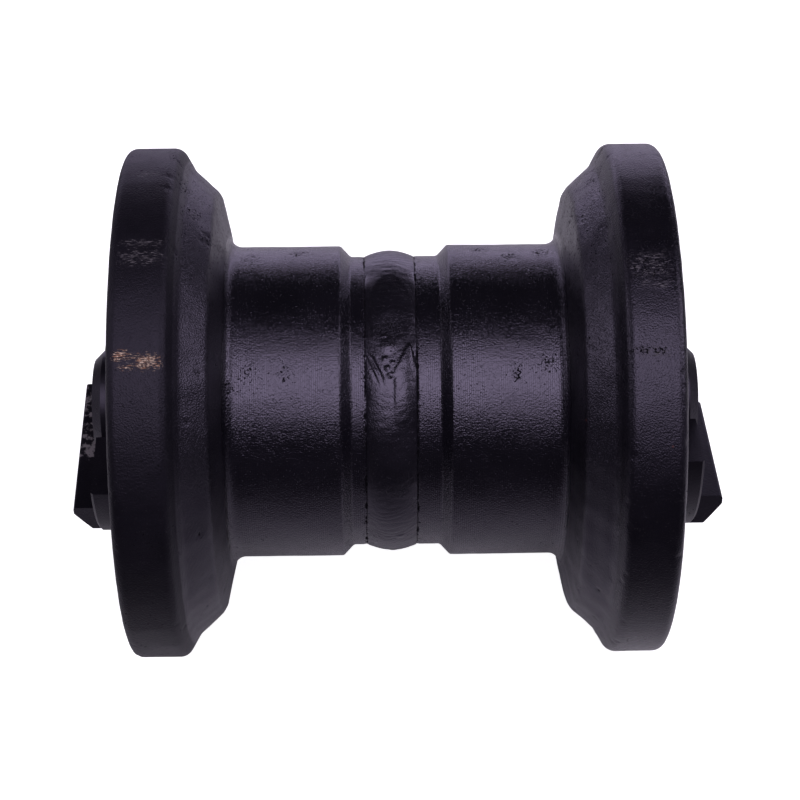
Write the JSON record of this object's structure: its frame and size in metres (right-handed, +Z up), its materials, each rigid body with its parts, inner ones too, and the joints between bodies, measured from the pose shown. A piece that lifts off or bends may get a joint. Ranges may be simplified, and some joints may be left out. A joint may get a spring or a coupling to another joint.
{
  "type": "track roller",
  "caption": "Double-flanged bottom track roller: a welded, oil-filled shell that turns on a fixed shaft between D-cut end collars with locating lugs. The collars turn on the shaft until they are bolted up.",
  "frame": {"origin": "centre of the roller: on the spin axis, halfway between the two rims", "axes": "+Y along the spin axis to the right-hand end, +Z up with the right collar's flat facing up and its lug below the shaft; the left collar rests turned by 14.4 degrees about +Y"},
  "size_m": [0.165, 0.2102, 0.165],
  "materials": {
    "shell_paint": "semi-gloss black enamel over turned and forged steel",
    "weld_paint": "semi-gloss black enamel over a rippled arc-weld bead",
    "collar_paint": "semi-gloss black enamel over milled steel",
    "shaft_steel": "black enamel on the ends, ground steel inside",
    "bushing_bronze": "bronze-lined steel, bored",
    "seal_iron": "lapped alloy iron",
    "seal_rubber": "moulded nitrile rubber",
    "pin_steel": "ground hardened steel",
    "plug_steel": "black-oxide steel",
    "washer_copper": "annealed copper"
  },
  "bodies": {
    "spindle": {"shaft": "shaft_steel", "oil_plug": "plug_steel", "oil_plug_washer": "washer_copper", "shaft_o_ring_left": "seal_rubber", "shaft_o_ring_right": "seal_rubber"},
    "roller": {"centre_weld": "weld_paint", "roller_shell_left": "shell_paint", "roller_shell_right": "shell_paint", "flanged_bushing_left": "bushing_bronze", "flanged_bushing_right": "bushing_bronze", "rotating_seal_ring_left": "seal_iron", "rotating_seal_ring_right": "seal_iron", "roller_side_toric_left": "seal_rubber", "roller_side_toric_right": "seal_rubber"},
    "collar_left": {"end_collar_left": "collar_paint", "stationary_seal_ring_left": "seal_iron", "collar_side_toric_left": "seal_rubber", "lock_pin_left": "pin_steel"},
    "collar_right": {"end_collar_right": "collar_paint", "stationary_seal_ring_right": "seal_iron", "collar_side_toric_right": "seal_rubber", "lock_pin_right": "pin_steel"}
  },
  "joints": [
    {"name": "roller_spin", "type": "hinge", "parent": "spindle", "child": "roller", "pos_m": [0, 0, 0], "axis": [0, 1, 0], "continuous": true},
    {"name": "collar_turn_left", "type": "hinge", "parent": "spindle", "child": "collar_left", "pos_m": [0, 0, 0], "axis": [0, 1, 0], "continuous": true},
    {"name": "collar_turn_right", "type": "hinge", "parent": "spindle", "child": "collar_right", "pos_m": [0, 0, 0], "axis": [0, 1, 0], "continuous": true}
  ]
}
